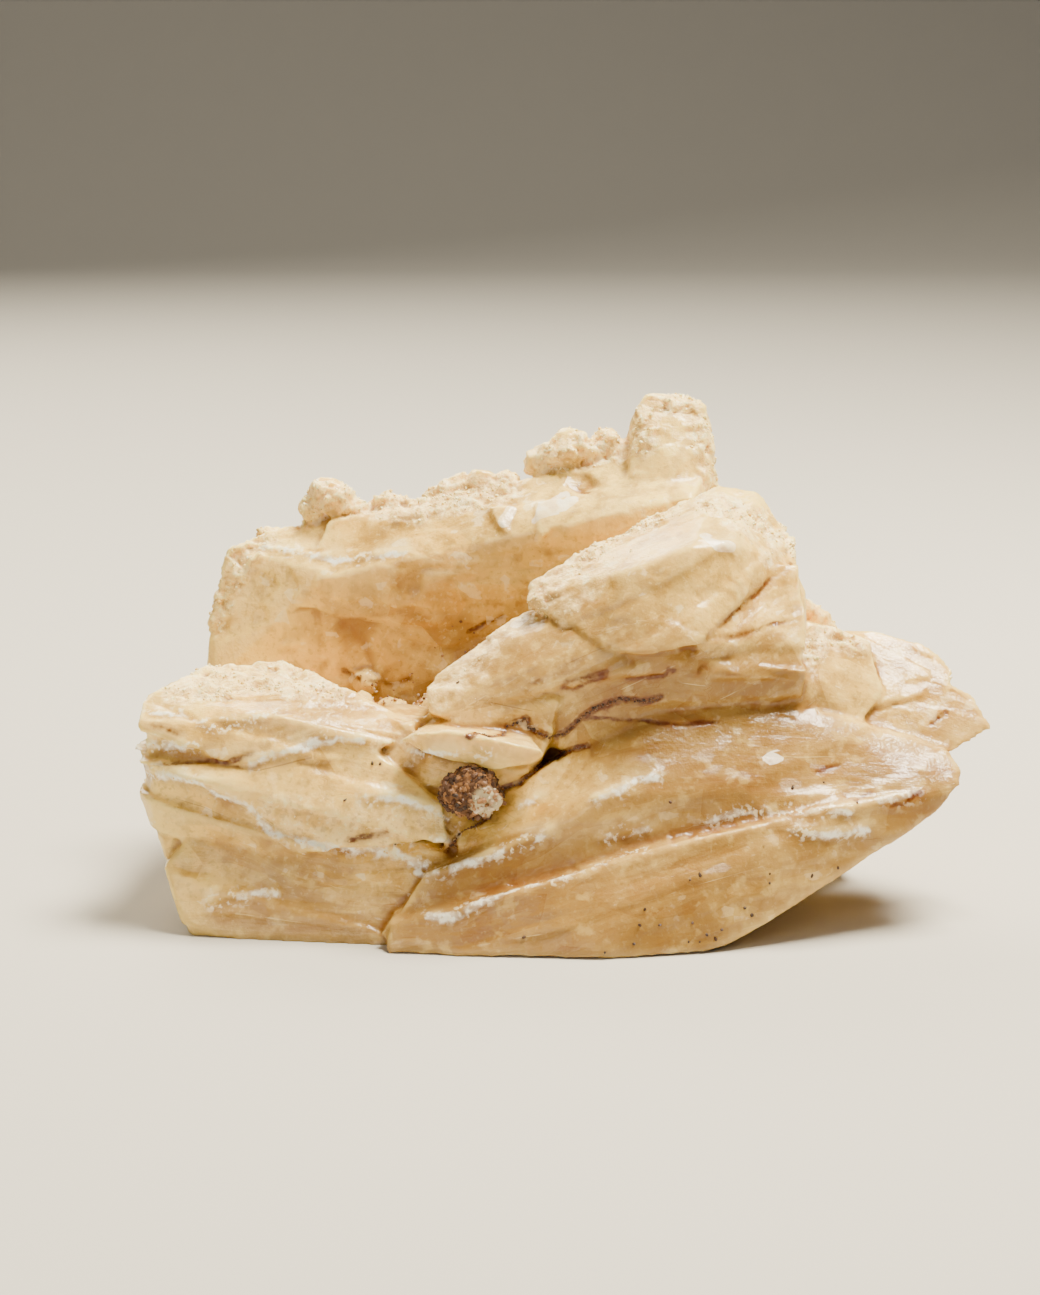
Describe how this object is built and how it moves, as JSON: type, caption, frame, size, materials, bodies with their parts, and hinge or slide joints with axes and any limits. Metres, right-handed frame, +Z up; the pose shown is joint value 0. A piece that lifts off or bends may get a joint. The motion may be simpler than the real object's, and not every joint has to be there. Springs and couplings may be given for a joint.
{
  "type": "desert rose",
  "caption": "Hand-sized cluster of honey-coloured gypsum blades grown through each other, with a hollow behind the front stacks and a lump of sand in their notch",
  "frame": {"origin": "middle of the footprint, on the flat underside that the cluster rests on", "axes": "+Z up, -Y towards the front, where the two stacks and the sand lump show, +X to the right, towards the fins"},
  "size_m": [0.1014, 0.0702, 0.0585],
  "materials": {
    "gypsum": "translucent, silky on the broad faces, frosted and sugary on the broken rims",
    "cemented_sand": "matt and gritty, dark grains in a tan crust"
  },
  "bodies": {
    "root": {"crystal_cluster": "gypsum", "sand_lump": "cemented_sand"}
  },
  "joints": []
}
